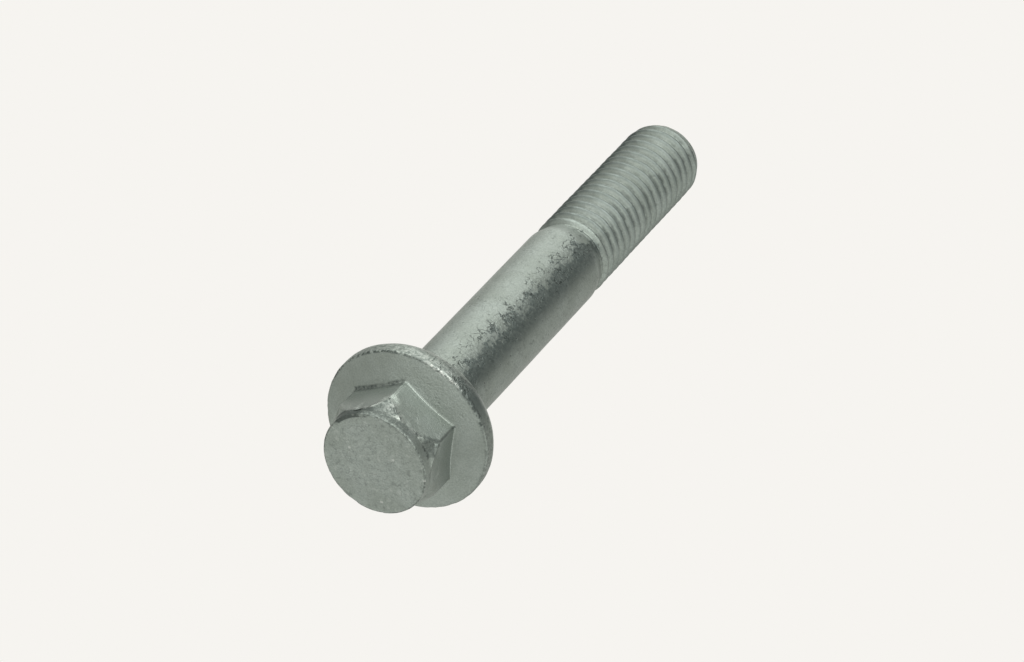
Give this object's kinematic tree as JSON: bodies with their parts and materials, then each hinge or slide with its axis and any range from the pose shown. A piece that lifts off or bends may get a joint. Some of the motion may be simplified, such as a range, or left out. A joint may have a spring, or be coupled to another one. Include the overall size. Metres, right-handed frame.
{
  "type": "flange bolt",
  "caption": "Hexagon flange bolt with a round crown on the head, a plain shank and a left-hand thread at the end, in worn grey zinc coating.",
  "frame": {"origin": "centre of the bearing face under the flange, on the bolt's axis", "axes": "+Z along the bolt's axis from the head to the threaded tip; two opposite corners of the hexagon lie on +X and -X, two opposite flats face +Y and -Y; the bolt stands on its head, whose top is 12.1 mm below the origin"},
  "size_m": [0.024, 0.024, 0.0888],
  "materials": {
    "zinc_coating": "satin grey zinc-flake coating on steel, with pits, dark flecks and edges worn bright"
  },
  "bodies": {
    "root": {"flange_bolt": "zinc_coating"}
  },
  "joints": []
}
